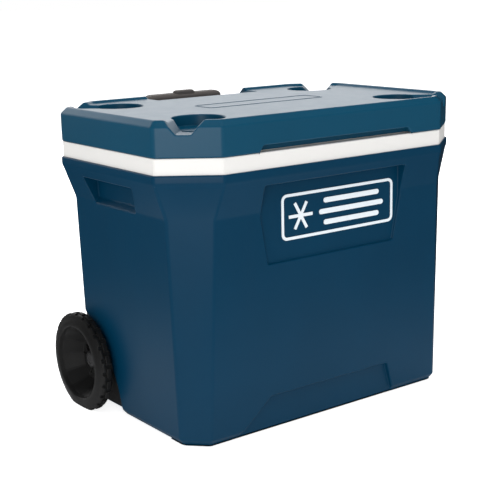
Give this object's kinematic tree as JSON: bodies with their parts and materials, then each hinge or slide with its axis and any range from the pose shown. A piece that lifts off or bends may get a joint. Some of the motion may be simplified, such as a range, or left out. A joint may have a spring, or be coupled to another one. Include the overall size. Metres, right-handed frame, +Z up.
{
  "type": "cooler on wheels",
  "caption": "Insulated hard cooler on two wheels, with a hinged lid holding cup holders, moulded hand pockets and a telescopic tow handle at the back.",
  "frame": {"origin": "middle of the footprint box on the floor plane", "axes": "+X to the right seen from the front, +Y to the back where the tow handle is, +Z up"},
  "size_m": [0.596, 0.4366, 0.495],
  "materials": {
    "blue_moulding": "fine textured semi-gloss",
    "foam": "closed-cell foam",
    "white_moulding": "smooth semi-gloss",
    "badge_print": "printed",
    "black_rubber": "matte",
    "steel": "zinc plated",
    "black_moulding": "textured",
    "handle_tube": "satin black",
    "grip_moulding": "fine textured"
  },
  "bodies": {
    "cooler_body": {"outer_shell": "blue_moulding", "body_foam": "foam", "inner_liner": "white_moulding", "front_badge": "badge_print", "axle": "steel", "axle_sleeve": "white_moulding", "axle_bracket_left": "black_moulding", "axle_bracket_right": "black_moulding", "axle_push_nuts": "steel", "drain_spout": "white_moulding", "drain_gasket": "black_rubber", "drain_nut": "white_moulding", "handle_housing": "black_moulding", "handle_foot_bracket": "black_moulding", "sleeve_tube_left": "handle_tube", "sleeve_tube_right": "handle_tube", "sleeve_bushes": "black_moulding", "housing_screws": "steel", "body_hinge_leaf_left": "white_moulding", "body_hinge_leaf_right": "white_moulding", "hinge_pin_left": "steel", "hinge_pin_right": "steel", "body_hinge_screws": "steel"},
    "lid": {"lid_shell": "blue_moulding", "lid_foam": "foam", "lid_liner": "white_moulding", "lid_hinge_leaf_left": "white_moulding", "lid_hinge_leaf_right": "white_moulding", "lid_hinge_screws": "steel"},
    "handle_middle": {"middle_tube_left": "handle_tube", "middle_tube_right": "handle_tube", "middle_yoke": "black_moulding"},
    "handle_grip": {"inner_tube_left": "handle_tube", "inner_tube_right": "handle_tube", "grip_front": "grip_moulding", "grip_rear": "grip_moulding", "grip_screws": "steel", "latch_plugs": "black_moulding", "button_spring": "steel"},
    "button": {"release_button": "grip_moulding", "release_rods": "steel"},
    "left_wheel": {"wheel_left": "black_moulding", "hub_cap_left": "black_moulding"},
    "right_wheel": {"wheel_right": "black_moulding", "hub_cap_right": "black_moulding"},
    "plug": {"drain_plug": "black_rubber"}
  },
  "joints": [
    {"name": "lid_hinge", "type": "hinge", "parent": "cooler_body", "child": "lid", "pos_m": [0, 0.17875, 0.481], "axis": [-1, 0, 0], "range_deg": [0, 90]},
    {"name": "handle_middle_slide", "type": "slide", "parent": "cooler_body", "child": "handle_middle", "axis": [0, 0, 1], "range_m": [0, 0.27]},
    {"name": "handle_grip_slide", "type": "slide", "parent": "handle_middle", "child": "handle_grip", "axis": [0, 0, 1], "range_m": [0, 0.27]},
    {"name": "release_button_press", "type": "slide", "parent": "handle_grip", "child": "button", "axis": [0, 0, -1], "range_m": [0, 0.004], "stiffness_N_per_m": 600, "springref_m": -0.004, "deforming": ["button_spring"]},
    {"name": "left_wheel_spin", "type": "hinge", "parent": "cooler_body", "child": "left_wheel", "pos_m": [-0.27, 0.09425, 0.081], "axis": [1, 0, 0], "continuous": true},
    {"name": "right_wheel_spin", "type": "hinge", "parent": "cooler_body", "child": "right_wheel", "pos_m": [0.27, 0.09425, 0.081], "axis": [1, 0, 0], "continuous": true},
    {"name": "drain_plug_pull", "type": "slide", "parent": "cooler_body", "child": "plug", "axis": [1, 0, 0], "range_m": [0, 0.03]}
  ]
}
